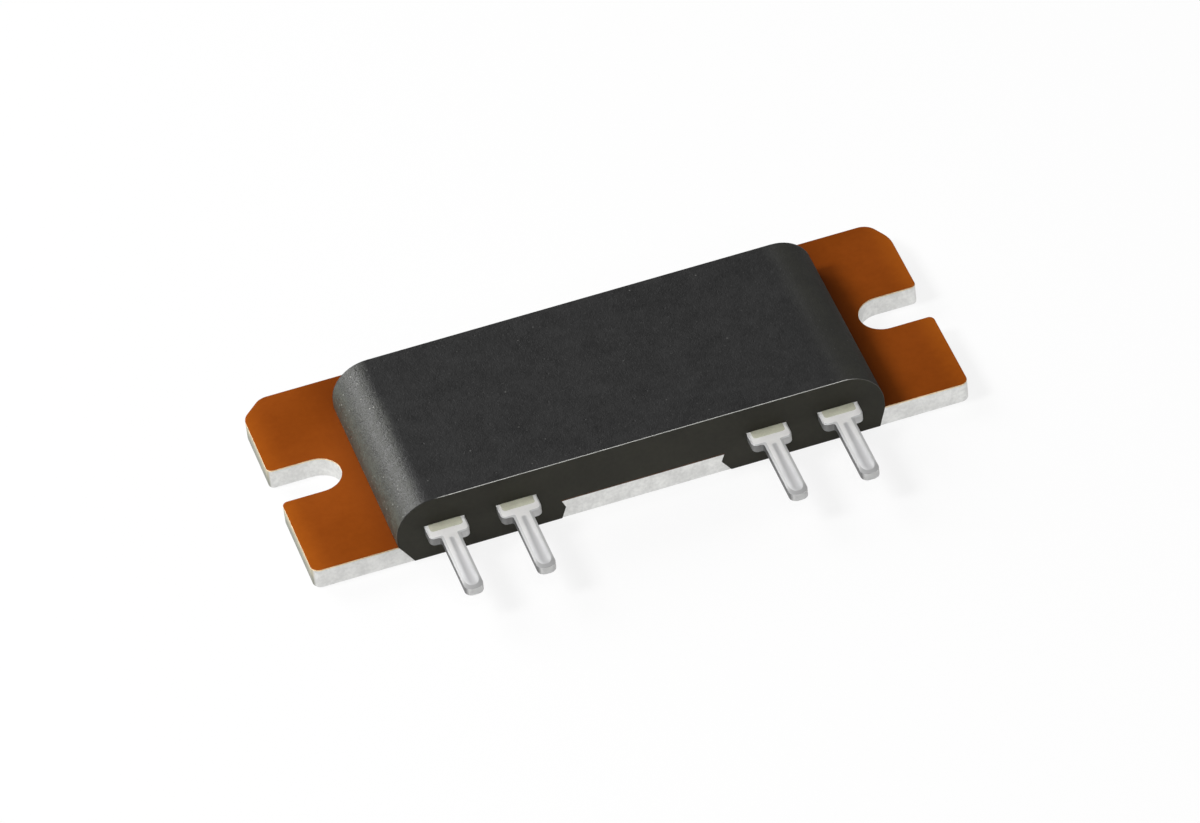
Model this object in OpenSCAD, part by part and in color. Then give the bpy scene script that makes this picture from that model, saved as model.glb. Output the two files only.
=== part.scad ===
// Four-lead power resistor for a heat sink: an aluminium plate with open
// screw slots, an insulating film, an etched foil element and a moulded body.
// X runs along the plate, -Y is the lead side, Z is up, and the origin is at
// the centre of the plate's underside. All sizes are in millimetres.

/* [Base plate] */
// Length of the plate
plate_l = 46; // [44:0.5:60]
// Depth of the plate, from the lead side to the rear
plate_d = 18; // [17:0.5:26]
// Thickness of the plate
plate_t = 1.5; // [1:0.1:3]
// Chamfer on the rear left corner
rear_chamfer = 1.55; // [1:0.05:3]
// Cut on the rear right corner, along the plate's rear edge
rear_cut_x = 1; // [0.7:0.05:2.5]
// Cut on the rear right corner, along the plate's end
rear_cut_y = 1.9; // [1:0.05:3]
// Rounding where that cut meets the plate's end
rear_cut_r = 2.5; // [0.5:0.1:4]
// Rounding at the other ends of the two rear cuts
chamfer_r = 1.2; // [0.2:0.1:1.6]
// Rounding of the two front corners
front_corner_r = 0.6; // [0.2:0.1:2]

/* [Screw slots] */
// Width of the open slot at each end
slot_w = 3.3; // [2.4:0.1:4.4]
// Distance from the plate's end to the screw's centre
screw_inset = 3; // [2:0.1:5]
// Rounding at the slot's mouth
slot_lip_r = 0.4; // [0.1:0.05:0.6]

/* [Insulating film] */
// Thickness of the film on the plate's top
film_t = 0.1; // [0.05:0.01:0.3]

/* [Moulded body] */
// Height of the body above the film
body_h = 3.3; // [2.9:0.1:6]
// Rounding over the body's two ends
body_end_r = 2.7; // [0.5:0.1:2.8]
// Gap between a slot's round end and the body
body_gap = 1.3; // [0.6:0.1:2]
// Strip of film left bare behind the body
rear_ledge = 2.9; // [1:0.1:4]

/* [Skirts over the plate's edge] */
// Depth of each skirt into the plate's front edge
skirt_depth = 1.8; // [1:0.1:2.4]
// How far the left outer end draws in towards the underside
skirt_draft_left = 1; // [0.1:0.02:1.2]
// How far the right outer end draws in towards the underside
skirt_draft_right = 0.48; // [0.1:0.02:1.2]
// Distance from the inner lead's shoulder to the nose of the skirt's inner end
skirt_margin = 1.9; // [0.8:0.1:2.5]
// Height of that nose, as a share of the skirt's height
nose_share = 0.58; // [0.4:0.02:0.7]
// How far the inner end draws back from its nose up to the film
nose_head = 0.28; // [0.1:0.02:0.5]
// How far the left inner end draws back from its nose down to the underside
nose_foot_left = 0.36; // [0.1:0.02:0.8]
// How far the right inner end draws back from its nose down to the underside
nose_foot_right = 0.64; // [0.1:0.02:0.8]
// Rounding of the nose
nose_r = 0.1; // [0.05:0.01:0.3]

/* [Leads] */
// Spacing between the two inner, sensing leads
sense_spacing = 17.5; // [14:0.5:18]
// Spacing between a sensing lead and the current lead beside it
lead_pitch = 5; // [4:0.1:5.5]
// Thickness of the lead strip
lead_t = 0.65; // [0.4:0.05:0.8]
// Width of the strip inside the body and at the shoulder
shoulder_w = 2.8; // [2:0.1:3.2]
// How far the shoulder stands out of the body
shoulder_out = 1.4; // [0.6:0.1:2.5]
// Width of the stem
stem_w = 1.3; // [0.8:0.05:1.7]
// How far the stem's tip stands out of the body
lead_out = 7; // [5:0.5:15]
// Height of the lead's underside above the film, outside
lead_rise = 0.53; // [0.4:0.01:1]
// Rounding of the shoulder's corners
shoulder_r = 0.4; // [0.1:0.05:0.5]
// Fillet between the shoulder and the stem
stem_fillet_r = 0.2; // [0.05:0.05:0.3]
// Rounding of the tip's corners, seen from above
tip_r = 0.5; // [0.1:0.05:0.6]
// Rounding along the stem's edges
stem_edge_r = 0.15; // [0.05:0.01:0.18]
// Length of the step down to the foil
step_l = 0.8; // [0.4:0.1:1.2]
// Length of the foot that is soldered down
foot_l = 2.2; // [1.5:0.1:3]

/* [Foil element and solder] */
// Thickness of the resistor foil
foil_t = 0.08; // [0.04:0.01:0.15]
// Number of legs in the meander, an even number
foil_legs = 12; // [6:2:16]
// Width of the etched slits
foil_slit = 0.35; // [0.2:0.05:0.6]
// Wall of moulding compound round the foil
foil_margin = 1.2; // [0.8:0.1:1.5]
// Thickness of the solder under each foot
solder_t = 0.12; // [0.06:0.01:0.2]
// How far the solder spreads past the foot
solder_spread = 0.2; // [0.05:0.05:0.4]
// How far the foil's pads reach past the solder
pad_spread = 0.3; // [0.1:0.05:0.5]

/* [Hidden] */
$fn = 64;
// Overshoot of a cut past the face that it leaves by
over = 1;

half_l = plate_l / 2;
front_y = -plate_d / 2;
rear_y = plate_d / 2;
film_top = plate_t + film_t;
screw_x = half_l - screw_inset;

body_l = 2 * (screw_x - slot_w / 2 - body_gap);
body_rear_y = rear_y - rear_ledge;
body_top = film_top + body_h;

sense_x = sense_spacing / 2;
current_x = sense_x + lead_pitch;

// Length of the rear right cut, how far the outline turns at its end, and the roundings that fit it
cut_l = norm([rear_cut_x, rear_cut_y]);
cut_turn = atan2(rear_cut_x, rear_cut_y);
cut_end_r = min(rear_cut_r, 0.49 * cut_l / tan(cut_turn / 2));
cut_rear_r = min(chamfer_r, 0.49 * cut_l / tan((90 - cut_turn) / 2));

// Width of each shoulder arm beside the stem, and the roundings that fit it
arm_w = (shoulder_w - stem_w) / 2;
arm_r = min(shoulder_r, 0.62 * arm_w);
fillet_r = min(stem_fillet_r, 0.38 * arm_w);
end_r = min(tip_r, 0.48 * stem_w);

// Heights of the lead strip outside the body, and of its foot on the solder
lead_z = film_top + lead_rise;
foil_top = film_top + foil_t;
foot_z = foil_top + solder_t;
tip_y = front_y - lead_out;
shoulder_y = front_y - shoulder_out;
step_y = front_y + skirt_depth;
foot_y = step_y + step_l;
foot_end_y = foot_y + foot_l;

skirt_inner_x = sense_x - shoulder_w / 2 - skirt_margin;
skirt_outer_x = body_l / 2;

foil_x = body_l / 2 - foil_margin;
foil_rear_y = body_rear_y - foil_margin;
pad_overlap = solder_spread + pad_spread;
pad_front_y = foot_y - pad_overlap;
pad_rear_y = foot_end_y + pad_overlap;
meander_front_y = pad_rear_y + foil_slit;
leg_pitch = (2 * foil_x + foil_slit) / foil_legs;
leg_w = leg_pitch - foil_slit;

// Unit vector from one point to another
function unit(from, to) = (to - from) / norm(to - from);

// Points where a rounding of radius r meets the two sides of corner b
function tangents(a, b, c, r) =
    let (u = unit(b, a), v = unit(b, c), reach = r / tan(acos(u * v) / 2))
    [b + u * reach, b + v * reach];

// Centre of that rounding
function corner_centre(a, b, c, r) =
    let (u = unit(b, a), v = unit(b, c))
    b + unit([0, 0], u + v) * r / sin(acos(u * v) / 2);

// Convex outline whose corners are true arcs; a radius of 0 leaves a corner sharp
module rounded_outline(points, radii) {
    n = len(points);
    polygon([for (i = [0:n - 1]) each tangents(points[(i + n - 1) % n], points[i], points[(i + 1) % n], radii[i])]);
    for (i = [0:n - 1]) if (radii[i] > 0)
        translate(corner_centre(points[(i + n - 1) % n], points[i], points[(i + 1) % n], radii[i])) circle(r = radii[i]);
}

// Rectangle between two X and two Y limits
module span(x0, x1, y0, y1) {
    translate([x0, y0]) square([x1 - x0, y1 - y0]);
}

// Sliver that rounds a sharp convex corner at the origin, whose sides run to -X and +Y
module corner_sliver(r) {
    difference() {
        span(-r, over, -over, r);
        translate([-r, r]) circle(r = r);
    }
}

// Upright slice of a drawing in X and Z, between two Y limits
module slice_y(y0, y1) {
    translate([0, y1, 0]) rotate([90, 0, 0]) linear_extrude(y1 - y0) children();
}

// Open screw slot at the plate's +X end
module screw_slot() {
    translate([screw_x, 0]) circle(d = slot_w);
    span(screw_x, half_l + over, -slot_w / 2, slot_w / 2);
    for (side = [0, 1]) mirror([0, side]) translate([half_l, slot_w / 2]) corner_sliver(slot_lip_r);
}

// Plan of the plate and of the film on it
module plate_plan() {
    difference() {
        rounded_outline(
            [[-half_l, front_y], [half_l, front_y], [half_l, rear_y - rear_cut_y], [half_l - rear_cut_x, rear_y],
             [-half_l + rear_chamfer, rear_y], [-half_l, rear_y - rear_chamfer]],
            [front_corner_r, front_corner_r, cut_end_r, cut_rear_r, chamfer_r, chamfer_r]);
        for (end = [0, 1]) mirror([end, 0]) screw_slot();
    }
}

// Front view of a skirt, drawn on the +X side: a drawn-in outer end and an inner end with a nose
module skirt_profile(draft, foot) {
    rounded_outline(
        [[skirt_inner_x + foot, 0], [skirt_outer_x - draft, 0], [skirt_outer_x, film_top],
         [skirt_inner_x + nose_head, film_top], [skirt_inner_x, nose_share * film_top]],
        [0, 0, 0, 0, nose_r]);
}

// Both skirts, from the plate's front edge inwards; reach lengthens them forwards as a cutter
module skirts(reach = 0) {
    slice_y(front_y - reach, step_y) skirt_profile(skirt_draft_right, nose_foot_right);
    mirror([1, 0, 0]) slice_y(front_y - reach, step_y) skirt_profile(skirt_draft_left, nose_foot_left);
}

module base_plate() {
    color("gainsboro") difference() {
        linear_extrude(plate_t) plate_plan();
        skirts(over);
    }
}

module insulation_film() {
    color("chocolate") difference() {
        translate([0, 0, plate_t]) linear_extrude(film_t) plate_plan();
        skirts(over);
    }
}

// Slit between two legs of the meander, open at the front or at the rear in turn
module meander_slit(i) {
    x = -foil_x + i * leg_pitch - foil_slit;
    open_front = i % 2 == 1;
    span(x, x + foil_slit, open_front ? meander_front_y - over : meander_front_y + leg_w,
         open_front ? foil_rear_y - leg_w : foil_rear_y + over);
}

// Strip that carries the two pads of one side and runs into the outermost leg
module pad_strip() {
    span(sense_x - shoulder_w / 2 - pad_overlap, foil_x, pad_front_y, pad_rear_y);
    span(foil_x - leg_w, foil_x, pad_rear_y, meander_front_y);
}

module resistor_foil() {
    color("peru") translate([0, 0, film_top]) linear_extrude(foil_t) {
        difference() {
            span(-foil_x, foil_x, meander_front_y, foil_rear_y);
            for (i = [1:foil_legs - 1]) meander_slit(i);
        }
        for (side = [0, 1]) mirror([side, 0]) pad_strip();
    }
}

// Solder under one foot
module solder(x) {
    half = shoulder_w / 2 + solder_spread;
    translate([0, 0, foil_top]) linear_extrude(solder_t)
        span(x - half, x + half, foot_y - solder_spread, foot_end_y + solder_spread);
}

// Plan of one lead, centred on X = 0: foot and shoulder, fillets, then the stem with its rounded tip
module lead_plan() {
    rounded_outline(
        [[-shoulder_w / 2, shoulder_y], [shoulder_w / 2, shoulder_y], [shoulder_w / 2, foot_end_y], [-shoulder_w / 2, foot_end_y]],
        [arm_r, arm_r, 0, 0]);
    rounded_outline(
        [[-stem_w / 2, tip_y], [stem_w / 2, tip_y], [stem_w / 2, shoulder_y + over / 2], [-stem_w / 2, shoulder_y + over / 2]],
        [end_r, end_r, 0, 0]);
    for (side = [0, 1]) mirror([side, 0]) difference() {
        span(stem_w / 2, stem_w / 2 + fillet_r, shoulder_y - fillet_r, shoulder_y);
        translate([stem_w / 2 + fillet_r, shoulder_y - fillet_r]) circle(r = fillet_r);
    }
}

// Side view of the strip, in Y and Z: straight outside, then a step down to the foot
module lead_side() {
    polygon([[tip_y, lead_z], [step_y, lead_z], [foot_y, foot_z], [foot_end_y, foot_z],
             [foot_end_y, foot_z + lead_t], [foot_y, foot_z + lead_t], [step_y, lead_z + lead_t], [tip_y, lead_z + lead_t]]);
}

// Section across the stem, with rounded edges; the shoulder and foot behind it stay square
module stem_section() {
    rounded_outline(
        [[-stem_w / 2, lead_z], [stem_w / 2, lead_z], [stem_w / 2, lead_z + lead_t], [-stem_w / 2, lead_z + lead_t]],
        [stem_edge_r, stem_edge_r, stem_edge_r, stem_edge_r]);
}

// One lead at its place along X
module lead(x) {
    fillet_y = shoulder_y - fillet_r;
    translate([x, 0, 0]) intersection() {
        linear_extrude(body_top) lead_plan();
        rotate([90, 0, 90]) linear_extrude(shoulder_w, center = true) lead_side();
        union() {
            slice_y(tip_y, fillet_y) stem_section();
            slice_y(fillet_y, foot_end_y) span(-shoulder_w / 2, shoulder_w / 2, foot_z, lead_z + lead_t);
        }
    }
}

module current_lead_left() { color("silver") lead(-current_x); }
module sense_lead_left() { color("silver") lead(-sense_x); }
module sense_lead_right() { color("silver") lead(sense_x); }
module current_lead_right() { color("silver") lead(current_x); }

module current_solder_left() { color("darkgray") solder(-current_x); }
module sense_solder_left() { color("darkgray") solder(-sense_x); }
module sense_solder_right() { color("darkgray") solder(sense_x); }
module current_solder_right() { color("darkgray") solder(current_x); }

// Body block with its rounded ends, cut level where it sits on the film
module body_block() {
    slice_y(front_y, body_rear_y) intersection() {
        rounded_outline(
            [[-body_l / 2, film_top], [body_l / 2, film_top], [body_l / 2, body_top], [-body_l / 2, body_top]],
            [0, 0, body_end_r, body_end_r]);
        span(-body_l, body_l, film_top, body_top + over);
    }
}

module moulded_body() {
    color("dimgray") difference() {
        union() {
            body_block();
            skirts();
        }
        for (x = [-current_x, -sense_x, sense_x, current_x]) {
            lead(x);
            solder(x);
        }
        resistor_foil();
    }
}

base_plate();
insulation_film();
resistor_foil();
current_lead_left();
sense_lead_left();
sense_lead_right();
current_lead_right();
current_solder_left();
sense_solder_left();
sense_solder_right();
current_solder_right();
moulded_body();
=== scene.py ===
# %% [markdown]
# # A four-lead power resistor, dressed for the studio
# The part is a current-sensing resistor that is screwed to a heat sink: an aluminium plate with a brown
# insulating film, a black moulded body, and four flat tinned leads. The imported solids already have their
# true sizes and places, so this lesson only gives each visible piece soft edges, small forms that a solid
# model leaves out, and a finish. Everything is in metres, in the same frame as the solids. Inside a finish,
# places are in millimetres.

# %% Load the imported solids
from math import cos, pi, radians, sin

import bmesh
import bpy
from mathutils import Matrix, Vector


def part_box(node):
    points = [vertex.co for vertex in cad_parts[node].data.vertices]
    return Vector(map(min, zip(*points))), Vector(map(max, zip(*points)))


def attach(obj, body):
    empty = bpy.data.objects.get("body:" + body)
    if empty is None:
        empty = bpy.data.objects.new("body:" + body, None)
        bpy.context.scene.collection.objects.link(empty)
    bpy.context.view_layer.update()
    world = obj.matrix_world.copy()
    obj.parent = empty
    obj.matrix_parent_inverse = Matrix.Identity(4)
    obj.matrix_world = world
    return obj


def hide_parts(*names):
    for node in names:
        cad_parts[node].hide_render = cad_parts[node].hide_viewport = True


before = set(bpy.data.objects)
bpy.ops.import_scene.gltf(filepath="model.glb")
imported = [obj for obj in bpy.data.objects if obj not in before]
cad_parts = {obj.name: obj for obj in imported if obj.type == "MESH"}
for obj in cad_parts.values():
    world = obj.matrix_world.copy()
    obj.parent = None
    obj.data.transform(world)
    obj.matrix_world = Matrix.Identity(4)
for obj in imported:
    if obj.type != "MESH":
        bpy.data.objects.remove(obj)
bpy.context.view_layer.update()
MM = 0.001
BODY = "root"
print("solids:", ", ".join(sorted(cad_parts)))

# %% [markdown]
# ## The camera
# The photograph looks down on the lead side, a little from the left, and the long edges of the part hardly
# converge. A long lens far away gives that flat perspective. The camera could be turned by hand until the
# edges agree; here it is set by the angles, the aim and the distance that fit the plate's four corners best.

# %% Camera
PHOTO_WIDTH = 1200
FOCAL_LENGTH = 9000  # in pixels of the photograph
SENSOR_WIDTH = 36  # millimetres, as on the camera's own socket
camera_azimuth = radians(-12.96)
camera_elevation = radians(41.74)
camera_roll = radians(-7.35)
camera_distance = 602 * MM
camera_aim = Vector((-0.65, -1.67, 1.6)) * MM

scene = bpy.context.scene
camera_data = bpy.data.cameras.new("camera")
camera_data.sensor_fit = "HORIZONTAL"
camera_data.sensor_width = SENSOR_WIDTH
camera_data.lens = SENSOR_WIDTH * FOCAL_LENGTH / PHOTO_WIDTH
camera = bpy.data.objects.new("camera", camera_data)
scene.collection.objects.link(camera)
scene.camera = camera

to_camera = Vector((
    sin(camera_azimuth) * cos(camera_elevation),
    -cos(camera_azimuth) * cos(camera_elevation),
    sin(camera_elevation),
))
level = to_camera.to_track_quat("Z", "Y").to_matrix().to_4x4()
roll = Matrix.Rotation(camera_roll, 4, to_camera)
camera.matrix_world = Matrix.Translation(camera_aim + to_camera * camera_distance) @ roll @ level
print("lens", camera_data.lens, "mm at", round(camera.location.length, 3), "m")

# %% [markdown]
# ## Small helpers for node trees
# Materials, the world and the lead row are all node trees. One helper adds a node, sets what is constant and
# links what is not, so that each tree below reads as a list of what it holds.

# %% Node helpers
def add(tree, kind, inputs=None, **settings):
    """A new node; inputs are constants or sockets to link, keyed by the socket's name or number."""
    node = tree.nodes.new(kind)
    for name, value in settings.items():
        setattr(node, name, value)
    for key, value in (inputs or {}).items():
        if isinstance(value, bpy.types.NodeSocket):
            tree.links.new(value, node.inputs[key])
        else:
            node.inputs[key].default_value = value
    return node


def maths(tree, operation, first, second=0.0, third=0.0):
    """The result of one Math node."""
    return add(tree, "ShaderNodeMath", {0: first, 1: second, 2: third}, operation=operation).outputs[0]


def ramp(tree, value, low, high):
    """0 below low, 1 above high, and a smooth step between; low may be the larger of the two."""
    limits = {"Value": value, "From Min": low, "From Max": high}
    return add(tree, "ShaderNodeMapRange", limits, interpolation_type="SMOOTHSTEP").outputs[0]


def blend(tree, mask, first, second):
    """A value that goes from first to second as the mask rises."""
    return add(tree, "ShaderNodeMix", {0: mask, 2: first, 3: second}, data_type="FLOAT").outputs[0]


def blend_colour(tree, mask, first, second):
    """A colour that goes from first to second as the mask rises."""
    return add(tree, "ShaderNodeMix", {0: mask, 6: first, 7: second}, data_type="RGBA").outputs[2]


def screen(red, green, blue):
    """A colour written in screen values from 0 to 255, as the linear colour that Blender works in."""
    shares = [value / 255 for value in (red, green, blue)]
    linear = [s / 12.92 if s < 0.04045 else ((s + 0.055) / 1.055) ** 2.4 for s in shares]
    return (*linear, 1.0)


print("node helpers ready")

# %% [markdown]
# ## A white studio
# The part lies on a pale floor in front of white. The main soft box stands on the left: its shadow falls on
# the film beside the body's right end. A low one behind on the left glances off the rounded left end, and a
# wide one in front fills the lead side. Bare point lamps would leave hard glints on tinned metal. The camera
# sees plain white, but a mirror sees a room that greys towards its ceiling, so the black top stays black.

# %% Room
WALL = 0.36  # strength of the wall, as a mirror sees it
CEILING = 0.17  # and of the ceiling
AMBIENT = 0.07  # light from all round on matt faces
WALL_TOP = 0.1  # sine of the elevation at which the wall starts to darken
CEILING_EDGE = 0.45  # and at which it has become the ceiling

world = bpy.data.worlds.new("white_room")
scene.world = world
world.use_nodes = True
room = world.node_tree
room.nodes.clear()
direction = add(room, "ShaderNodeTexCoord").outputs["Generated"]
rise = add(room, "ShaderNodeSeparateXYZ", {0: direction}).outputs["Z"]
mirror_room = blend(room, ramp(room, rise, WALL_TOP, CEILING_EDGE), WALL, CEILING)


def ray_kinds(tree):
    """1 for rays from the camera, and 1 for rays from a mirror or through glass."""
    path = add(tree, "ShaderNodeLightPath").outputs
    mirrored = maths(tree, "MAXIMUM", path["Is Glossy Ray"], path["Is Transmission Ray"])
    return path["Is Camera Ray"], mirrored


from_camera, from_mirror = ray_kinds(room)
strength = blend(room, from_camera, blend(room, from_mirror, AMBIENT, mirror_room), 1.0)
background = add(room, "ShaderNodeBackground", {"Strength": strength})
background.inputs["Color"].default_value = (1.0, 1.0, 1.0, 1.0)
add(room, "ShaderNodeOutputWorld", {"Surface": background.outputs[0]})
print("room: wall", WALL, "ceiling", CEILING, "ambient", AMBIENT)

# %% Soft boxes
def soft_box(name, azimuth, elevation, share, size, distance=1.0):
    """A square lamp that faces the part; share is what it adds to a white face turned to it."""
    lamp = bpy.data.lights.new(name, "AREA")
    lamp.shape = "RECTANGLE"
    lamp.size = size
    lamp.size_y = size
    lamp.energy = share * pi ** 2 * distance ** 2
    turn = radians(azimuth)
    tilt = radians(elevation)
    towards = Vector((sin(turn) * cos(tilt), -cos(turn) * cos(tilt), sin(tilt)))
    facing = towards.to_track_quat("Z", "Y").to_matrix().to_4x4()
    holder = bpy.data.objects.new(name, lamp)
    holder.matrix_world = Matrix.Translation(towards * distance) @ facing
    scene.collection.objects.link(holder)


soft_box("key_left", azimuth=-93, elevation=46, share=0.63, size=0.22, distance=0.8)
soft_box("rear_left", azimuth=-146, elevation=26, share=0.64, size=0.55)
soft_box("fill_front", azimuth=-8, elevation=48, share=0.4, size=0.8)

# %% Floor
FLOOR_HALF = 3.0
FLOOR_DROP = 0.01 * MM  # just under the plate, so that the two faces don't fight
CAMERA_WHITE = 0.84  # share of the floor that shows as plain white, the rest shows the shadow

floor_mesh = bpy.data.meshes.new("floor")
floor_signs = ((-1, -1), (1, -1), (1, 1), (-1, 1))
floor_corners = [(FLOOR_HALF * x, FLOOR_HALF * y, -FLOOR_DROP) for x, y in floor_signs]
floor_mesh.from_pydata(floor_corners, [], [(0, 1, 2, 3)])
floor = bpy.data.objects.new("floor", floor_mesh)
scene.collection.objects.link(floor)

paper = bpy.data.materials.new("floor_paper")
paper.use_nodes = True
sheet = paper.node_tree
sheet.nodes.clear()
matt = add(sheet, "ShaderNodeBsdfDiffuse", {"Color": (0.95, 0.95, 0.95, 1.0)}).outputs[0]
white = add(sheet, "ShaderNodeEmission", {"Color": (1.0, 1.0, 1.0, 1.0), "Strength": 1.0}).outputs[0]
from_camera, from_mirror = ray_kinds(sheet)
share = maths(sheet, "MULTIPLY", maths(sheet, "MAXIMUM", from_camera, from_mirror), CAMERA_WHITE)
paper_mix = add(sheet, "ShaderNodeMixShader", {0: share, 1: matt, 2: white}).outputs[0]
add(sheet, "ShaderNodeOutputMaterial", {"Surface": paper_mix})
floor_mesh.materials.append(paper)
scene.view_settings.view_transform = "Standard"
print("floor", 2 * FLOOR_HALF, "m wide")

# %% [markdown]
# ## Effects that several finishes share
# No surface of this part is quite even: the compound is cloudy, the film and the metals are faintly blotched.
# Each finish could have its own noise, but one group with named sizes keeps them alike and easy to tune. A
# second group scatters the grains and pits that show on moulded compound and on film.

# %% Places and noise
def place_in_mm(tree):
    """Object coordinates in millimetres, so that every size in a finish is a real one."""
    place = add(tree, "ShaderNodeTexCoord").outputs["Object"]
    return add(tree, "ShaderNodeVectorMath", {0: place, 3: 1 / MM}, operation="SCALE").outputs[0]


def axes(tree, place):
    """The X, Y and Z of a place, one by one."""
    return add(tree, "ShaderNodeSeparateXYZ", {0: place}).outputs


def stretched(tree, place, factors):
    """A place with a factor for each axis; a small one draws a pattern out along that axis."""
    return add(tree, "ShaderNodeVectorMath", {0: place, 1: factors}, operation="MULTIPLY").outputs[0]


def noise(tree, place, scale, detail):
    """The value of a Noise texture, from about 0.3 to 0.7."""
    sizes = {"Vector": place, "Scale": scale, "Detail": detail}
    return add(tree, "ShaderNodeTexNoise", sizes).outputs[0]


print("place and noise helpers ready")

# %% Shared shader groups
def shader_group(name, sizes, result):
    """An empty shader group with named number inputs and one number output."""
    group = bpy.data.node_groups.new(name, "ShaderNodeTree")
    for label, value in sizes.items():
        socket = group.interface.new_socket(label, in_out="INPUT", socket_type="NodeSocketFloat")
        socket.default_value = value
    group.interface.new_socket(result, in_out="OUTPUT", socket_type="NodeSocketFloat")
    return group, group.nodes.new("NodeGroupInput").outputs


mottle_sizes = {"Cloud Size": 3.0, "Grain Size": 0.2, "Grain Share": 0.4}
mottle_group, sizes = shader_group("mottle", mottle_sizes, "Mask")
place = place_in_mm(mottle_group)
clouds = noise(mottle_group, place, maths(mottle_group, "DIVIDE", 1.0, sizes["Cloud Size"]), 3.0)
grains = noise(mottle_group, place, maths(mottle_group, "DIVIDE", 1.0, sizes["Grain Size"]), 2.0)
both = blend(mottle_group, sizes["Grain Share"], clouds, grains)
add(mottle_group, "NodeGroupOutput", {0: ramp(mottle_group, both, 0.3, 0.7)})

speck_sizes = {"Spacing": 1.0, "Speck Size": 0.06, "Kept Share": 0.3}
specks_group, sizes = shader_group("specks", speck_sizes, "Mask")
per_cell = maths(specks_group, "DIVIDE", 1.0, sizes["Spacing"])
scatter = {"Vector": place_in_mm(specks_group), "Scale": per_cell}
cells = add(specks_group, "ShaderNodeTexVoronoi", scatter).outputs
away = maths(specks_group, "MULTIPLY", cells["Distance"], sizes["Spacing"])
draw = add(specks_group, "ShaderNodeSeparateColor", {0: cells["Color"]}).outputs[0]
kept = maths(specks_group, "LESS_THAN", draw, sizes["Kept Share"])
dot = maths(specks_group, "SUBTRACT", 1.0, ramp(specks_group, away, 0.0, sizes["Speck Size"]))
add(specks_group, "NodeGroupOutput", {0: maths(specks_group, "MULTIPLY", dot, kept)})


def shared(tree, group, **sizes):
    """The mask of a shared group, placed in a finish with its own sizes."""
    node = add(tree, "ShaderNodeGroup", node_tree=group)
    for label, value in sizes.items():
        node.inputs[label.replace("_", " ").title()].default_value = value
    return node.outputs[0]


print("shared groups:", mottle_group.name, specks_group.name)

# %% Start of a finish
def new_finish(name, **constants):
    """A material with one Principled shader; constants are set on the shader's own sockets."""
    material = bpy.data.materials.new(name)
    material.use_nodes = True
    tree = material.node_tree
    tree.nodes.clear()
    shader = add(tree, "ShaderNodeBsdfPrincipled")
    for label, value in constants.items():
        shader.inputs[label.replace("_", " ")].default_value = value
    add(tree, "ShaderNodeOutputMaterial", {"Surface": shader.outputs[0]})
    return material, tree, shader


def drive(tree, shader, colour, roughness, height=None, depth=0.0):
    """Links a finish's changing colour and roughness, and a bump of that depth in metres."""
    tree.links.new(colour, shader.inputs["Base Color"])
    tree.links.new(roughness, shader.inputs["Roughness"])
    if height is not None:
        bump = add(tree, "ShaderNodeBump", {"Height": height, "Distance": depth})
        tree.links.new(bump.outputs[0], shader.inputs["Normal"])


print("finish helpers ready")

# %% [markdown]
# ## From loose triangles to a soft-edged piece
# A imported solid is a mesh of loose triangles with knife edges. Real edges are never that sharp, and the thin
# line of light along an edge is what makes a small part look real. The copy of a solid is welded, its flat
# faces are joined, and only the outer edges that show are bevelled, so that pockets and contact faces keep
# their exact form. Weighted normals then keep the large faces flat in the light.

# %% Piece helpers
WELD = 0.0001 * MM
TOUCH = 0.02 * MM  # points closer than this to a face count as on it
FLAT_WITHIN = radians(0.5)  # faces that differ by less are joined
SHARP_FROM = radians(30)  # edges that may be bevelled
CRISP_FROM = radians(40)  # edges that stay crisp in the light


def cad_copy(node):
    """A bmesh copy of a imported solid, welded, with its flat faces joined."""
    bm = bmesh.new()
    bm.from_mesh(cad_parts[node].data)
    bmesh.ops.remove_doubles(bm, verts=bm.verts, dist=WELD)
    bmesh.ops.dissolve_limit(bm, angle_limit=FLAT_WITHIN, verts=bm.verts, edges=bm.edges)
    return bm


def soften(bm, chosen, width, segments=3, finish=-1):
    """Bevels the sharp edges whose middle passes the test; the bevel can take its own finish."""
    edges = []
    for edge in bm.edges:
        if len(edge.link_faces) == 2 and edge.calc_face_angle() > SHARP_FROM:
            middle = (edge.verts[0].co + edge.verts[1].co) / 2
            if chosen(middle):
                edges.append(edge)
    bmesh.ops.bevel(bm, geom=edges, offset=width, offset_type="OFFSET", segments=segments, profile=0.5,
                    affect="EDGES", clamp_overlap=False, material=finish)
    return len(edges)


def make_piece(name, bm, *materials):
    """A piece at the origin from a bmesh, smooth with crisp corners."""
    mesh = bpy.data.meshes.new(name)
    bm.to_mesh(mesh)
    bm.free()
    mesh.shade_smooth()
    mesh.set_sharp_from_angle(angle=CRISP_FROM)
    for material in materials:
        mesh.materials.append(material)
    piece = bpy.data.objects.new(name, mesh)
    scene.collection.objects.link(piece)
    return piece


def bake_modifiers(piece):
    """Flattens the large faces in the light, and turns a piece's modifiers into plain mesh."""
    piece.modifiers.new("flat_faces", "WEIGHTED_NORMAL").keep_sharp = True
    depsgraph = bpy.context.evaluated_depsgraph_get()
    mesh = bpy.data.meshes.new_from_object(piece.evaluated_get(depsgraph))
    piece.modifiers.clear()
    piece.data = mesh


def stands_for(piece, slot, *nodes):
    """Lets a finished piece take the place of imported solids."""
    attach(piece, BODY)
    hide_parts(*nodes)
    mesh = piece.data
    mesh.calc_loop_triangles()
    print(piece.name, "stands for", ", ".join(nodes), "with", len(mesh.loop_triangles), "triangles")


print("piece helpers ready")

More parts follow.
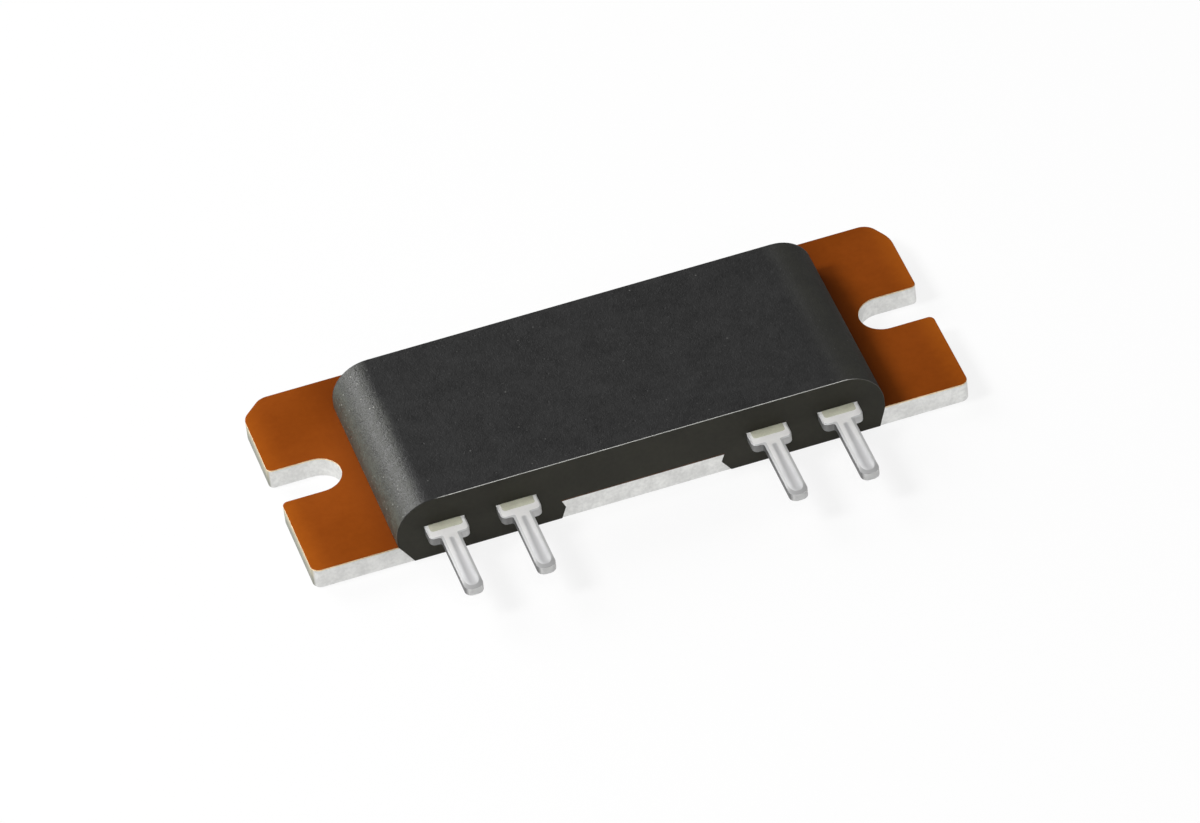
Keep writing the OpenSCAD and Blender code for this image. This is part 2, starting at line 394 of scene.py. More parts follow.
# %% [markdown]
# ## The moulded body
# The body is one casting of black epoxy compound. The mould was spark-eroded, so the top is finely pebbled,
# with crumbs, small pits and a few pale filler grains. The left end is coarser, and its colour is painted
# paler with brighter grains, as a painted highlight with painted glints, paler still lower down as a painted
# reflection. The right end is dull and a little olive, and a touch paler than the top: painted light where
# its shading dips. One dark colour all over would look like rubber, so the finish is mixed from noise and
# from the place on the body.
#
# The flat face that the leads come out of is smoother and matt. The rim round it is where the two halves of
# the mould met. Along the top it carries a painted highlight, a thin pale line that grows faint over the
# right end and is left out over the left end. So face and rim have finishes of their own.

# %% Zones of the body
body_low, body_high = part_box("moulded_body")
END_ROUND = 2.7 * MM  # rounding over the body's two ends
RAGGED = 0.4  # millimetres by which clouds shift the edge of the left end's painted highlight
LEAN = 0.03  # millimetres by which that edge moves for each millimetre towards the rear
flat_end = (body_high.x - END_ROUND) / MM


def body_zones(tree, cloud):
    """Masks of the left end, which carries a painted highlight, and of the dull right end; neither reaches the
    flat rear face.
    """
    place_x, place_y, _ = axes(tree, place_in_mm(tree))
    rear = body_high.y / MM
    off_rear = ramp(tree, place_y, rear - 0.02, rear - 0.2)
    shift = maths(tree, "MULTIPLY_ADD", place_y, LEAN, maths(tree, "MULTIPLY", cloud, RAGGED))
    left = ramp(tree, maths(tree, "SUBTRACT", shift, place_x), flat_end + 0.36, flat_end + 1.1)
    right = ramp(tree, place_x, flat_end - 1.0, flat_end + 1.2)
    return maths(tree, "MULTIPLY", left, off_rear), maths(tree, "MULTIPLY", right, off_rear)


print("flat top ends", round(flat_end, 2), "mm from the middle")

# %% Moulding compound
def compound_colour(tree, cloud, clump, lit_left_end, dull):
    """Black on the top; a painted highlight on the left end, paler still lower down as a painted reflection;
    olive on the dull right end, a touch paler as painted light.
    """
    place_z = axes(tree, place_in_mm(tree))["Z"]
    top = body_high.z / MM
    crumb = blend(tree, 0.4, cloud, clump)
    fresh = blend_colour(tree, crumb, screen(15, 15, 15), screen(36, 36, 36))
    # olive is a touch paler than the top: painted light on the right end
    olive = blend_colour(tree, cloud, screen(30, 30, 25), screen(40, 40, 33))
    # upper and lower are the left end's painted highlight; the paler lower tone is a painted reflection
    upper = blend_colour(tree, clump, screen(32, 33, 30), screen(66, 67, 62))
    lower = blend_colour(tree, clump, screen(50, 54, 47), screen(74, 78, 69))
    pale = blend_colour(tree, ramp(tree, place_z, top - 0.6, top - 1.6), upper, lower)
    return blend_colour(tree, lit_left_end, blend_colour(tree, dull, fresh, olive), pale)


def moulding_compound():
    """Pebbled compound with crumbs, pits and pale grains."""
    material, tree, shader = new_finish("moulding_compound", IOR=1.5, Specular_IOR_Level=0.5)
    cloud = shared(tree, mottle_group, cloud_size=2.6, grain_size=0.3, grain_share=0.35)
    pebble = shared(tree, mottle_group, cloud_size=0.22, grain_size=0.1, grain_share=0.5)
    clump = shared(tree, mottle_group, cloud_size=0.5, grain_size=0.16, grain_share=0.5)
    patch = shared(tree, mottle_group, cloud_size=0.8, grain_size=0.2, grain_share=0.4)
    grain = shared(tree, specks_group, spacing=0.45, speck_size=0.085, kept_share=0.55)
    rare = shared(tree, specks_group, spacing=1.2, speck_size=0.09, kept_share=0.5)
    pit = shared(tree, specks_group, spacing=0.9, speck_size=0.12, kept_share=0.4)
    # the left end's mask carries a painted highlight, the right end's a touch of painted light
    lit_left_end, dull = body_zones(tree, cloud)
    colour = compound_colour(tree, cloud, clump, lit_left_end, dull)
    # the pits are dented and painted near black: painted shade in the dents
    colour = blend_colour(tree, pit, colour, screen(8, 8, 8))
    colour = blend_colour(tree, rare, colour, screen(104, 104, 102))
    # pale filler grains, much brighter on the left end, where they are painted glints
    grain_and_glint = blend_colour(tree, lit_left_end, screen(60, 60, 59), screen(158, 158, 152))
    colour = blend_colour(tree, grain, colour, grain_and_glint)
    roughness = blend(tree, lit_left_end, blend(tree, patch, 0.42, 0.54), blend(tree, clump, 0.38, 0.59))
    roughness = blend(tree, dull, roughness, 0.8)
    sand = maths(tree, "MULTIPLY", maths(tree, "MULTIPLY", clump, lit_left_end), 1.25)
    raised = maths(tree, "ADD", pebble, sand)
    height = maths(tree, "SUBTRACT", raised, maths(tree, "MULTIPLY", pit, 2.0))
    drive(tree, shader, colour, roughness, height, 0.012 * MM)
    return material


compound = moulding_compound()
print("finish:", compound.name)

# %% Lead face and trimmed rim
def smooth_compound():
    """Even, matt compound with a trace of olive."""
    material, tree, shader = new_finish("smooth_compound", IOR=1.5, Specular_IOR_Level=0.12)
    cloud = shared(tree, mottle_group, cloud_size=2.6, grain_size=0.3, grain_share=0.35)
    colour = blend_colour(tree, cloud, screen(50, 49, 43), screen(57, 56, 49))
    drive(tree, shader, colour, blend(tree, cloud, 0.52, 0.58))
    return material


def rim_highlight():
    """A painted highlight: a pale line along the top, faint over the right end, and none over the left end."""
    material, tree, shader = new_finish("rim_highlight", IOR=1.5, Specular_IOR_Level=0.3)
    cloud = shared(tree, mottle_group, cloud_size=1.5, grain_size=0.12, grain_share=0.45)
    place_x = axes(tree, place_in_mm(tree))["X"]
    off_left = ramp(tree, place_x, -flat_end + 0.1, -flat_end + 0.8)
    over_right = ramp(tree, place_x, flat_end - 0.3, flat_end + 1.2)
    # the pale and faint tones are the painted highlight on the rim
    pale = blend_colour(tree, cloud, screen(176, 176, 173), screen(206, 206, 202))
    faint = blend_colour(tree, cloud, screen(84, 84, 79), screen(108, 108, 102))
    highlight_line = blend_colour(tree, over_right, pale, faint)
    colour = blend_colour(tree, off_left, screen(24, 24, 23), highlight_line)
    drive(tree, shader, colour, blend(tree, cloud, 0.45, 0.6))
    return material


rim_finish = rim_highlight()
face_finish = smooth_compound()
print("finishes:", rim_finish.name, face_finish.name)

# %% Moulded body
BODY_EDGE = 0.05 * MM
FORWARD = 0.95  # a face whose normal reaches this far forward belongs to the lead face
film_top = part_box("insulation_film")[1].z
lead_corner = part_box("current_lead_right")[1]


def front_rim(middle):
    """True on the rim of the lead face, from foot to foot over the top, and not round the leads."""
    past_leads = middle.z > lead_corner.z + TOUCH or abs(middle.x) > lead_corner.x + TOUCH
    return abs(middle.y - body_low.y) < TOUCH and middle.z > film_top + TOUCH and past_leads


def rear_rim(middle):
    """True on the rim of the rear face, from foot to foot over the top."""
    return abs(middle.y - body_high.y) < TOUCH and middle.z > film_top + TOUCH


def skirt_lip(middle):
    """True on the lower front edge of the two skirts."""
    return abs(middle.y - body_low.y) < TOUCH and middle.z < TOUCH


bm = cad_copy("moulded_body")
print("front rim:", soften(bm, front_rim, BODY_EDGE, finish=1), "edges")
print("rear rim:", soften(bm, rear_rim, BODY_EDGE), "edges, skirt lip:", soften(bm, skirt_lip, BODY_EDGE, 2))
for face in bm.faces:
    if face.normal.y < -FORWARD and abs(face.calc_center_median().y - body_low.y) < TOUCH:
        face.material_index = 2
moulded = make_piece("body_casting", bm, compound, rim_finish, face_finish)
bake_modifiers(moulded)
stands_for(moulded, "compound", "moulded_body")

# %% [markdown]
# ## The base plate
# The plate is punched from aluminium sheet, so its walls are matt with faint upright marks of the punch, and
# the edge on the die side is a little rounded. The wall at the left end is darker, greyer and streaked, and
# cream towards the top. The underside keeps the straight lines of the rolling mill. All these marks could be
# cut into the mesh, but they are finer than a hair, so they are colour, bump and roughness on noise that is
# drawn out along them.

# %% Punched aluminium
plate_low, plate_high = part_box("base_plate")


def left_wall_tone(tree, place, marks):
    """Mask and colour of the wall at the left end."""
    place_x, _, place_z = axes(tree, place)
    end = plate_low.x / MM
    top = plate_high.z / MM
    above_edge = ramp(tree, place_z, 0.0, 0.1)
    mask = maths(tree, "MULTIPLY", ramp(tree, place_x, end + 0.16, end + 0.02), above_edge)
    streak = ramp(tree, marks, 0.25, 0.75)
    dull = blend_colour(tree, streak, screen(138, 139, 129), screen(162, 163, 152))
    cream_top = blend_colour(tree, streak, screen(190, 182, 156), screen(209, 202, 178))
    level = maths(tree, "MULTIPLY_ADD", streak, 0.4, place_z)
    return mask, blend_colour(tree, ramp(tree, level, top - 0.8, top + 0.2), dull, cream_top)


def punched_aluminium():
    """Matt aluminium with punch marks on its walls and rolling lines below."""
    material, tree, shader = new_finish("punched_aluminium", Metallic=1.0)
    place = place_in_mm(tree)
    underside = ramp(tree, axes(tree, place)["Z"], 0.05, 0.01)
    blotch = shared(tree, mottle_group, cloud_size=1.3, grain_size=0.25, grain_share=0.4)
    lines = noise(tree, stretched(tree, place, (0.04, 1.0, 1.0)), 4.0, 4.0)
    tone = blend(tree, underside, blotch, lines)
    punch = noise(tree, stretched(tree, place, (1.0, 1.0, 0.12)), 9.0, 3.0)
    marks = blend(tree, underside, punch, maths(tree, "MULTIPLY", lines, 0.3))
    bright = blend_colour(tree, tone, screen(211, 211, 209), screen(240, 240, 238))
    left_wall, left_wall_colour = left_wall_tone(tree, place, marks)
    colour = blend_colour(tree, left_wall, bright, left_wall_colour)
    drive(tree, shader, colour, blend(tree, tone, 0.52, 0.66), marks, 0.022 * MM)
    return material


aluminium = punched_aluminium()
print("finish:", aluminium.name)

# %% Base plate
PLATE_EDGE = 0.14 * MM
SKIRT_DEPTH = 1.8 * MM  # how far the body's skirts reach into the plate's front edge


def die_edge(middle):
    """True on the plate's lower outline, and not in the two reliefs that the skirts fill."""
    behind_front = plate_low.y + TOUCH < middle.y < plate_low.y + SKIRT_DEPTH + TOUCH
    in_relief = behind_front and abs(middle.x) < body_high.x
    return middle.z < TOUCH and not in_relief


bm = cad_copy("base_plate")
print("die edges:", soften(bm, die_edge, PLATE_EDGE))
plate = make_piece("punched_plate", bm, aluminium)
bake_modifiers(plate)
stands_for(plate, "plate", "base_plate")

# %% [markdown]
# ## The insulating film
# A brown film with a soft sheen covers the plate's top. Its colour is painted darker next to the body, as
# painted shade, and brighter at the two ends, as painted light, and a little darker towards the right, as the
# light from the left falls off. Its cut edge is only a tenth of a millimetre high, but it shows as a thin
# cream line, because light gets into it there. Where the body laps the front edge, that line is painted dark
# with the body's shade. The film could be a colour on the plate, but then it would have no edge, so it keeps
# its own thin piece, with two finishes: one for the top and one for the cut edge.

# %% Film finishes
def brown_film():
    """Brown film in three tones by the distance from the body, painted shade near it and painted light at the
    ends, with a few bright specks.
    """
    material, tree, shader = new_finish("brown_film", IOR=1.5, Specular_IOR_Level=0.06)
    cloud = shared(tree, mottle_group, cloud_size=7.0, grain_size=0.35, grain_share=0.2)
    speck = shared(tree, specks_group, spacing=2.4, speck_size=0.06, kept_share=0.25)
    place_x = axes(tree, place_in_mm(tree))["X"]
    out = maths(tree, "ABSOLUTE", place_x)
    body_end = body_high.x / MM
    plate_end = plate_high.x / MM
    # the near tone is painted shade next to the body, the far tone painted light at the two ends
    near = blend_colour(tree, cloud, screen(118, 54, 10), screen(127, 60, 12))
    middle = blend_colour(tree, cloud, screen(129, 61, 11), screen(146, 71, 16))
    far = blend_colour(tree, cloud, screen(150, 73, 15), screen(166, 86, 19))
    colour = blend_colour(tree, ramp(tree, out, body_end - 0.3, body_end + 2.2), near, middle)
    colour = blend_colour(tree, ramp(tree, out, plate_end - 1.8, plate_end + 0.3), colour, far)
    colour = blend_colour(tree, speck, colour, screen(174, 98, 34))
    # painted falloff: lighter on the left and darker on the right, as the light from the left fades
    depth = blend(tree, ramp(tree, place_x, -plate_end, plate_end), 1.09, 0.88)
    colour = add(tree, "ShaderNodeVectorMath", {0: colour, 3: depth}, operation="SCALE").outputs[0]
    drive(tree, shader, colour, blend(tree, cloud, 0.34, 0.46), cloud, 0.004 * MM)
    return material


def film_cut_edge():
    """Cream where the film's edge is free, and painted shade where it runs under the body at the front."""
    material, tree, shader = new_finish("film_cut_edge", IOR=1.5, Specular_IOR_Level=0.3)
    cloud = shared(tree, mottle_group, cloud_size=0.6, grain_size=0.1, grain_share=0.5)
    place_x, place_y, _ = axes(tree, place_in_mm(tree))
    body_end = body_high.x / MM
    front = plate_low.y / MM
    at_front = ramp(tree, place_y, front + 1.0, front + 0.5)
    under_body = ramp(tree, maths(tree, "ABSOLUTE", place_x), body_end + 0.1, body_end - 0.2)
    # painted shade on the edge, where it lies under the body
    shaded_under_body = maths(tree, "MULTIPLY", under_body, at_front)
    free = blend_colour(tree, cloud, screen(228, 202, 158), screen(242, 222, 184))
    edge_shade = blend_colour(tree, cloud, screen(52, 38, 26), screen(92, 60, 34))
    colour = blend_colour(tree, shaded_under_body, free, edge_shade)
    drive(tree, shader, colour, blend(tree, cloud, 0.45, 0.6))
    return material


film_top_finish = brown_film()
film_edge_finish = film_cut_edge()
print("finishes:", film_top_finish.name, film_edge_finish.name)

# %% Insulating film
FILM_EDGE = 0.03 * MM
UPWARD = 0.6  # a face whose normal reaches this far up belongs to the film's top


def film_rim(middle):
    """True on the film's upper outline."""
    return middle.z > film_top - TOUCH / 2


bm = cad_copy("insulation_film")
print("film edges:", soften(bm, film_rim, FILM_EDGE, 2))
for face in bm.faces:
    face.material_index = 0 if face.normal.z > UPWARD else 1
film = make_piece("film_sheet", bm, film_top_finish, film_edge_finish)
bake_modifiers(film)
stands_for(film, "film", "insulation_film")

# %% [markdown]
# ## The shape of a lead
# Each lead is stamped from strip and then tinned. The molten tin rounds the top into a shallow lip, narrow on
# the arms and wide at the tip, and leaves a trough that widens down the stem. A bevel on the solid would
# break up where arms, fillets and stem meet, so the lead is drawn again from its plan: rings that go from the
# outline of the flat top to the outline of the wall, down the wall and under. Where the strip goes into the
# body the lip runs out, because there the lead fills its square pocket exactly.

# %% Lead sizes
STRIP = 0.65 * MM
SHOULDER_OUT = 1.4 * MM
STEP = 0.8 * MM  # length over which the strip steps down to the foil, behind the skirts
stem_half = 0.65 * MM
lead_low, lead_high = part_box("sense_lead_right")
shoulder_half = (lead_high.x - lead_low.x) / 2
top_z = lead_high.z
under_z = top_z - STRIP
foot_drop = under_z - lead_low.z
face_y = body_low.y
shoulder_y = face_y - SHOULDER_OUT
tip_y = lead_low.y
step_y = face_y + SKIRT_DEPTH
foot_y = step_y + STEP
foot_end_y = lead_high.y
print("lead reaches out", round((face_y - tip_y) / MM, 2), "mm, steps down", round(foot_drop / MM, 2), "mm")

# %% Lead outlines
ARM_ROUND = 0.4 * MM  # the wall's roundings
FILLET = 0.2 * MM
TIP_ROUND = 0.5 * MM
ARM_LIP = 0.1 * MM  # the lip's width on the arms
STEM_LIP = 0.19 * MM  # along the stem
TIP_LIP = 0.34 * MM  # and at the tip
FLAT_ARM_ROUND = 0.28 * MM  # the flat top's roundings, inside the lip
FLAT_FILLET = 0.12 * MM
FLAT_TIP_ROUND = 0.42 * MM
FLAT_TIP_STRETCH = 1.6
UNDER_EDGE = 0.03 * MM  # rounding of the lower edge
SQUARE_END = 0.14 * MM  # length over which the rounding grows, next to the body


def arc(x, y, radius, first, last, steps=8, stretch=1.0):
    """Points of a plan arc; stretch makes it longer along the lead."""
    turns = [radians(first + (last - first) * i / steps) for i in range(steps + 1)]
    return [Vector((x + radius * cos(t), y + stretch * radius * sin(t), 0)) for t in turns]


def mirrored(half):
    """The whole outline from its left half, which runs from the body's face to the middle of the front."""
    return half + [Vector((-p.x, p.y, 0)) for p in reversed(half)]


def lead_plan(inset, stem_inset, tip_inset, arm_round, fillet, tip_round, stretch=1.0):
    """Outline of the lead from above, set in from the strip's own outline."""
    wide = shoulder_half - inset
    slim = stem_half - stem_inset
    arm_y = shoulder_y + inset
    tip_centre = tip_y + tip_inset + stretch * tip_round
    half = [Vector((-wide, face_y - part * SQUARE_END, 0)) for part in (0, 0.3, 0.65, 1)]
    half += arc(-wide + arm_round, arm_y + arm_round, arm_round, 180, 270)
    half += arc(-slim - fillet, arm_y - fillet, fillet, 90, 0)
    half += arc(-slim + tip_round, tip_centre, tip_round, 180, 270, stretch=stretch)
    return mirrored(half)


wall_plan = lead_plan(0, 0, 0, ARM_ROUND, FILLET, TIP_ROUND)
top_plan = lead_plan(ARM_LIP, STEM_LIP, TIP_LIP,
                     FLAT_ARM_ROUND, FLAT_FILLET, FLAT_TIP_ROUND, FLAT_TIP_STRETCH)
under_plan = lead_plan(UNDER_EDGE, UNDER_EDGE, UNDER_EDGE,
                       ARM_ROUND - UNDER_EDGE, FILLET, TIP_ROUND - UNDER_EDGE)
print("lead outlines:", len(wall_plan), len(top_plan), len(under_plan), "points")

# %% Ring helpers
def edge_ring(bm, lip, flat, share, height, square_height):
    """Points between a flat face's outline and the wall's, square next to the body and full further out."""
    points = []
    for wall, inner in zip(wall_plan, flat):
        grown = min(1.0, (face_y - wall.y) / SQUARE_END)
        spot = wall.lerp(inner, (1 - share) * grown)
        spot.z = square_height + (height - square_height) * grown
        vert = bm.verts.new(spot)
        vert[lip] = share * grown
        points.append(vert)
    return points


def join(bm, first, second, closed=False):
    """A band of quads between two rings."""
    count = len(first)
    for i in range(count if closed else count - 1):
        after = (i + 1) % count
        bm.faces.new((first[i], second[i], second[after], first[after]))


def join_all(bm, rings, closed=False):
    """Bands between each ring and the next."""
    for first, second in zip(rings, rings[1:]):
        join(bm, first, second, closed)


def loop_edges(bm, points):
    """The edges of a closed ring; the edge that closes it is added if it is missing."""
    pairs = zip(points, points[1:] + points[:1])
    return [bm.edges.get(pair) or bm.edges.new(pair) for pair in pairs]


def cap(bm, *rings):
    """A flat face inside the first ring and outside the others."""
    edges = [edge for points in rings for edge in loop_edges(bm, points)]
    bmesh.ops.triangle_fill(bm, use_beauty=True, edges=edges)


def open_edges(bm):
    """How many edges don't have exactly two faces."""
    return sum(not edge.is_manifold for edge in bm.edges)


print("ring helpers ready")

# %% Lip and trough
LIP_DROP = 0.055 * MM  # height of the lip round the strip's top
LIP_CURVE = 1.2  # 1 is a straight slope, more is rounder
UNDER_CURVE = 1.6
TROUGH_DEPTH = 0.03 * MM
TROUGH_START_R = 0.24 * MM
TROUGH_END_R = 0.37 * MM
TROUGH_STEPS = 10  # round each of its ends
trough_start = shoulder_y - 0.4 * MM
trough_end = tip_y + 0.78 * MM


def trough_loop(bm, share):
    """A loop round the trough's axis; share is 1 at its rim and falls towards its bottom."""
    depth = TROUGH_DEPTH * (1 + cos(pi * share)) / 2
    turns = [radians(180 * i / TROUGH_STEPS) for i in range(TROUGH_STEPS + 1)]
    spots = [(TROUGH_START_R * cos(t), trough_start, TROUGH_START_R * sin(t)) for t in turns]
    spots += [(-TROUGH_END_R * cos(t), trough_end, -TROUGH_END_R * sin(t)) for t in turns]
    return [bm.verts.new((share * x, y + share * dy, top_z - depth)) for x, y, dy in spots]


bm = bmesh.new()
resin = bm.verts.layers.float.new("resin")
lip = bm.verts.layers.float.new("edge")
shares = [0, 0.12, 0.3, 0.5, 0.7, 0.88, 1]
rings = [edge_ring(bm, lip, top_plan, s, top_z - LIP_DROP * s ** LIP_CURVE, top_z) for s in shares]
for s in reversed(shares):
    rings.append(edge_ring(bm, lip, under_plan, s, under_z + UNDER_EDGE * s ** UNDER_CURVE, under_z))
join_all(bm, rings)
loops = [trough_loop(bm, share) for share in (1, 0.85, 0.7, 0.55, 0.4, 0.25, 0.12)]
join_all(bm, loops, closed=True)
cap(bm, rings[0], loops[0])
cap(bm, loops[-1])
cap(bm, rings[-1])
print("outer end of the strip:", len(bm.faces), "faces")

# %% Stepped foot
stations = []
for y, drop in ((face_y, 0), (step_y, 0), (foot_y, foot_drop), (foot_end_y, foot_drop)):
    section = [(-1, under_z), (-1, top_z), (1, top_z), (1, under_z)]
    stations.append([bm.verts.new((side * shoulder_half, y, z - drop)) for side, z in section])
join_all(bm, stations, closed=True)
bm.faces.new(stations[-1])
bmesh.ops.remove_doubles(bm, verts=bm.verts, dist=5 * WELD)
print("strip:", len(bm.faces), "faces,", open_edges(bm), "open edges")

# %% [markdown]
# ## The resin skin
# Next to the body a thin skin of clear resin crept out of the mould over the tin. It could be a patch of
# colour, but its rim catches the light, so it is a closed shell of rings that lies on the strip. Each point
# also keeps its place on its own lead, before the leads are set out, because the finish goes by that place.

# %% Resin skin
RESIN_OUT = 0.75 * MM  # reach from the body's face
RESIN_SIDE = 0.27 * MM  # bare tin on each side
RESIN_ROUND = 0.22 * MM


def skin_ring(bm, inset, rise):
    """Points round the skin, set in from its rim and raised from the strip's top."""
    reach = shoulder_half - RESIN_SIDE - inset
    front = face_y - RESIN_OUT + inset
    corner = arc(-reach + RESIN_ROUND, front + RESIN_ROUND, RESIN_ROUND, 180, 270, steps=6)
    outline = mirrored([Vector((-reach, face_y, 0))] + corner)
    return [bm.verts.new((spot.x, spot.y, top_z + rise)) for spot in outline]


skin_steps = ((0, -0.004), (0.02, 0.006), (0.06, 0.014), (0.12, 0.018))  # inset and rise in millimetres
skin = [skin_ring(bm, inset * MM, rise * MM) for inset, rise in skin_steps]
join_all(bm, skin)
cap(bm, skin[0])
cap(bm, skin[-1])
bm.faces.new([points[0] for points in skin] + [points[-1] for points in reversed(skin)])
for points in skin:
    for vert in points:
        vert[resin] = 1.0
bmesh.ops.recalc_face_normals(bm, faces=bm.faces)
lead_place = bm.verts.layers.float_vector.new("lead_place")
for vert in bm.verts:
    vert[lead_place] = vert.co / MM
print("with resin skin:", len(bm.faces), "faces,", open_edges(bm), "open edges")

# %% [markdown]
# ## The tin
# Matt tin scatters most of its light, so it is bright without being a mirror. Its colour is painted brighter
# on the shoulder, where the body shades it, and greyer towards the tip, as painted light and painted shade.
# The trough and the lip are painted greyer, as painted shade. The walls are greyer than the top, painted
# darker on the left side and brighter on the right side, as painted shade and painted light. One colour would
# lose all that, so masks are made from the place on the lead and from the layers that the mesh carries.

# %% Zones of a lead
def layer(tree, name, output="Fac"):
    """A value that the mesh carries."""
    return add(tree, "ShaderNodeAttribute", attribute_name=name).outputs[output]


def trough_zone(tree, across, along, up):
    """1 along the trough's axis and 0 past its rim; it runs on to the lip at the tip."""
    before = maths(tree, "SUBTRACT", along, trough_start / MM)
    after = maths(tree, "SUBTRACT", (tip_y + TIP_LIP) / MM, along)
    past = maths(tree, "MAXIMUM", maths(tree, "MAXIMUM", before, after), 0.0)
    square = maths(tree, "MULTIPLY_ADD", across, across, maths(tree, "MULTIPLY", past, past))
    limits = {"Value": along, "From Min": trough_start / MM, "From Max": trough_end / MM,
              "To Min": TROUGH_START_R / MM, "To Max": TROUGH_END_R / MM}
    reach = add(tree, "ShaderNodeMapRange", limits).outputs[0]
    ratio = maths(tree, "DIVIDE", maths(tree, "SQRT", square), reach)
    on_top = ramp(tree, up, top_z / MM - 0.15, top_z / MM - 0.08)
    return maths(tree, "MULTIPLY", ramp(tree, ratio, 1.05, 0.25), on_top)


def wall_zone(tree, up):
    """1 on the walls, between the lip and the lower edge."""
    below_lip = ramp(tree, up, top_z / MM - 0.05, top_z / MM - 0.08)
    above_edge = ramp(tree, up, under_z / MM, under_z / MM + 0.03)
    return maths(tree, "MULTIPLY", below_lip, above_edge)


print("lead zones ready")

# %% Tinned finish
TIN_METAL = 0.05  # share of the tin's light that it mirrors as a metal


def tin_colour(tree, cloud):
    """Bright tin on the flat, greyer in the trough, on the lip and on the walls."""
    across, along, up = axes(tree, layer(tree, "lead_place", "Vector"))
    stem = stem_half / MM
    tip = tip_y / MM
    flat_tip = (tip_y + TIP_LIP) / MM
    on_right = ramp(tree, across, -stem - 0.01, -stem + 0.23)
    on_arm = ramp(tree, maths(tree, "ABSOLUTE", across), stem + 0.03, stem + 0.15)
    on_tip = ramp(tree, along, flat_tip + 0.9, flat_tip + 0.1)
    # the brighter shoulder tone is painted light where the body shades it; the greyer tip tone is painted
    # shade
    lit_shoulder = blend_colour(tree, cloud, screen(242, 241, 239), screen(249, 248, 246))
    shaded_tip = blend_colour(tree, cloud, screen(218, 218, 219), screen(228, 228, 229))
    colour = blend_colour(tree, ramp(tree, along, shoulder_y / MM, tip + 1.5), lit_shoulder, shaded_tip)
    # the trough's grey is painted shade of the shallow groove
    colour = blend_colour(tree, trough_zone(tree, across, along, up), colour, screen(194, 194, 195))
    # the lip's greys are painted shade on the rounded edge, a little darker on the left lip and darkest at the
    # tip
    side_lip = blend_colour(tree, on_right, screen(198, 198, 198), screen(204, 204, 204))
    lip_colour = blend_colour(tree, on_tip, side_lip, screen(168, 168, 168))
    colour = blend_colour(tree, ramp(tree, layer(tree, "edge"), 0.02, 0.2), colour, lip_colour)
    # walls: greyer than the top, with painted shade on the left side, darkest on the stem, and painted light
    # on the right side
    painted_wall_shade = blend_colour(tree, on_arm, screen(62, 62, 62), screen(112, 112, 111))
    wall_colour = blend_colour(tree, on_right, painted_wall_shade, screen(200, 200, 199))
    return blend_colour(tree, wall_zone(tree, up), colour, wall_colour)


def tinned():
    """Matt tin, under a dull resin skin next to the body."""
    material, tree, shader = new_finish("tinned_strip", IOR=1.8)
    cloud = shared(tree, mottle_group, cloud_size=0.9, grain_size=0.12, grain_share=0.35)
    skin = layer(tree, "resin")
    dull = blend_colour(tree, cloud, screen(192, 192, 172), screen(210, 210, 190))
    colour = blend_colour(tree, skin, tin_colour(tree, cloud), dull)
    roughness = blend(tree, skin, blend(tree, cloud, 0.46, 0.56), 0.5)
    tree.links.new(blend(tree, skin, TIN_METAL, 0.0), shader.inputs["Metallic"])
    drive(tree, shader, colour, roughness, cloud, 0.002 * MM)
    return material


tin = tinned()
print("finish:", tin.name)

# %% [markdown]
# ## Four leads from one
# The four leads come from one stamp, so they are one mesh, set out in a row. Copies could be placed one by
# one, but a Geometry Nodes tree with named inputs says what the row is: two leads on each side, their places
# mirrored about the middle, the sensing pair inside and the current pair outside. Spacing and pitch are
# measured on the solids.

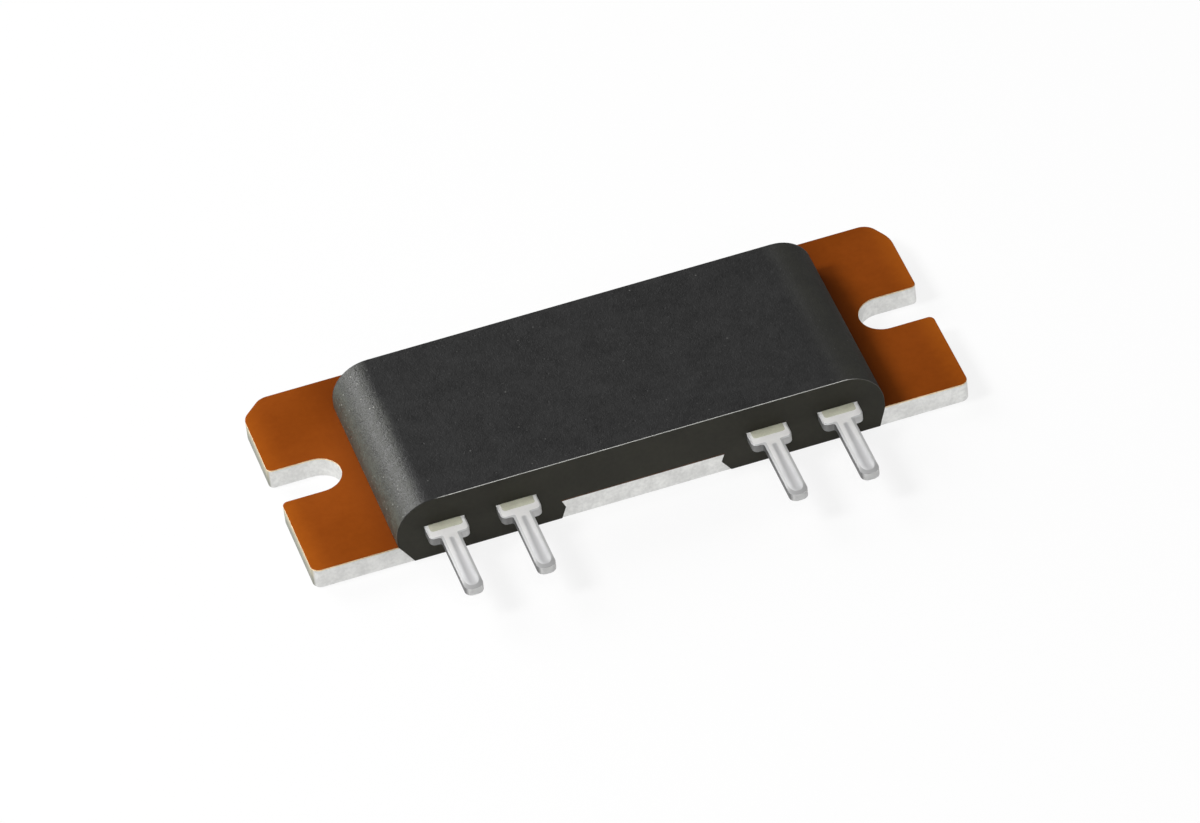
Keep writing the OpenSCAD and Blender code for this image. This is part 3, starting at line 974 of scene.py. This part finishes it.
# %% Lead row tree
def lead_row_tree():
    """Sets one lead out along X, to both sides of the middle: the sensing pair, then the current pair."""
    tree = bpy.data.node_groups.new("lead_row", "GeometryNodeTree")
    tree.interface.new_socket("Lead", in_out="INPUT", socket_type="NodeSocketGeometry")
    kinds = {"Sense Spacing": "Float", "Lead Pitch": "Float", "Leads per Side": "Int", "Finish": "Material"}
    named = {}
    for label, kind in kinds.items():
        socket = tree.interface.new_socket(label, in_out="INPUT", socket_type="NodeSocket" + kind)
        named[label] = socket.identifier
    tree.interface.new_socket("Row", in_out="OUTPUT", socket_type="NodeSocketGeometry")
    given = tree.nodes.new("NodeGroupInput").outputs
    half_spacing = maths(tree, "MULTIPLY", given["Sense Spacing"], 0.5)
    start = add(tree, "ShaderNodeCombineXYZ", {"X": half_spacing}).outputs[0]
    offset = add(tree, "ShaderNodeCombineXYZ", {"X": given["Lead Pitch"]}).outputs[0]
    line = {"Count": given["Leads per Side"], "Start Location": start, "Offset": offset}
    right = add(tree, "GeometryNodeMeshLine", line).outputs[0]
    left = add(tree, "GeometryNodeTransform", {"Geometry": right, "Scale": (-1.0, 1.0, 1.0)}).outputs[0]
    places = add(tree, "GeometryNodeJoinGeometry")
    tree.links.new(right, places.inputs[0])
    tree.links.new(left, places.inputs[0])
    copies = {"Points": places.outputs[0], "Instance": given["Lead"]}
    row = add(tree, "GeometryNodeInstanceOnPoints", copies).outputs[0]
    plain = add(tree, "GeometryNodeRealizeInstances", {"Geometry": row}).outputs[0]
    dressing = {"Geometry": plain, "Material": given["Finish"]}
    add(tree, "NodeGroupOutput", {0: add(tree, "GeometryNodeSetMaterial", dressing).outputs[0]})
    return tree, named


row_tree, row_inputs = lead_row_tree()
print("lead row inputs:", row_inputs)

# %% Lead row
lead_nodes = ["current_lead_left", "sense_lead_left", "sense_lead_right", "current_lead_right"]
lead_x = {name: sum(corner.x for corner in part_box(name)) / 2 for name in lead_nodes}

leads = make_piece("lead_row", bm, tin)
setting_out = leads.modifiers.new("lead_row", "NODES")
setting_out.node_group = row_tree
setting_out[row_inputs["Sense Spacing"]] = lead_x["sense_lead_right"] - lead_x["sense_lead_left"]
setting_out[row_inputs["Lead Pitch"]] = lead_x["current_lead_right"] - lead_x["sense_lead_right"]
setting_out[row_inputs["Leads per Side"]] = 2
setting_out[row_inputs["Finish"]] = tin
bake_modifiers(leads)
stands_for(leads, "tinned", *lead_nodes)

# %% [markdown]
# ## The pieces inside
# The etched foil and the solder under the feet are sealed in the compound. Their solids are already right, so
# they keep their own meshes and only get a finish: rolled resistance alloy, and dull frozen solder.

# %% Inner finishes
def rolled_alloy():
    """Copper-coloured alloy with fine lines along the rolling direction."""
    material, tree, shader = new_finish("rolled_alloy", Metallic=1.0)
    lines = noise(tree, stretched(tree, place_in_mm(tree), (0.15, 1.0, 1.0)), 8.0, 3.0)
    colour = blend_colour(tree, lines, screen(176, 124, 88), screen(204, 152, 112))
    drive(tree, shader, colour, blend(tree, lines, 0.3, 0.42), lines, 0.002 * MM)
    return material


def frozen_solder():
    """Dull grey solder with a fine grain."""
    material, tree, shader = new_finish("frozen_solder", Metallic=1.0)
    cloud = shared(tree, mottle_group, cloud_size=0.5, grain_size=0.08, grain_share=0.5)
    colour = blend_colour(tree, cloud, screen(168, 170, 172), screen(196, 197, 198))
    drive(tree, shader, colour, blend(tree, cloud, 0.38, 0.55), cloud, 0.006 * MM)
    return material


inner = {"resistor_foil": rolled_alloy()}
solder = frozen_solder()
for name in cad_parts:
    if "solder" in name:
        inner[name] = solder
for name, material in inner.items():
    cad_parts[name].material_slots[0].material = material
print("inner finishes on", sorted(inner))
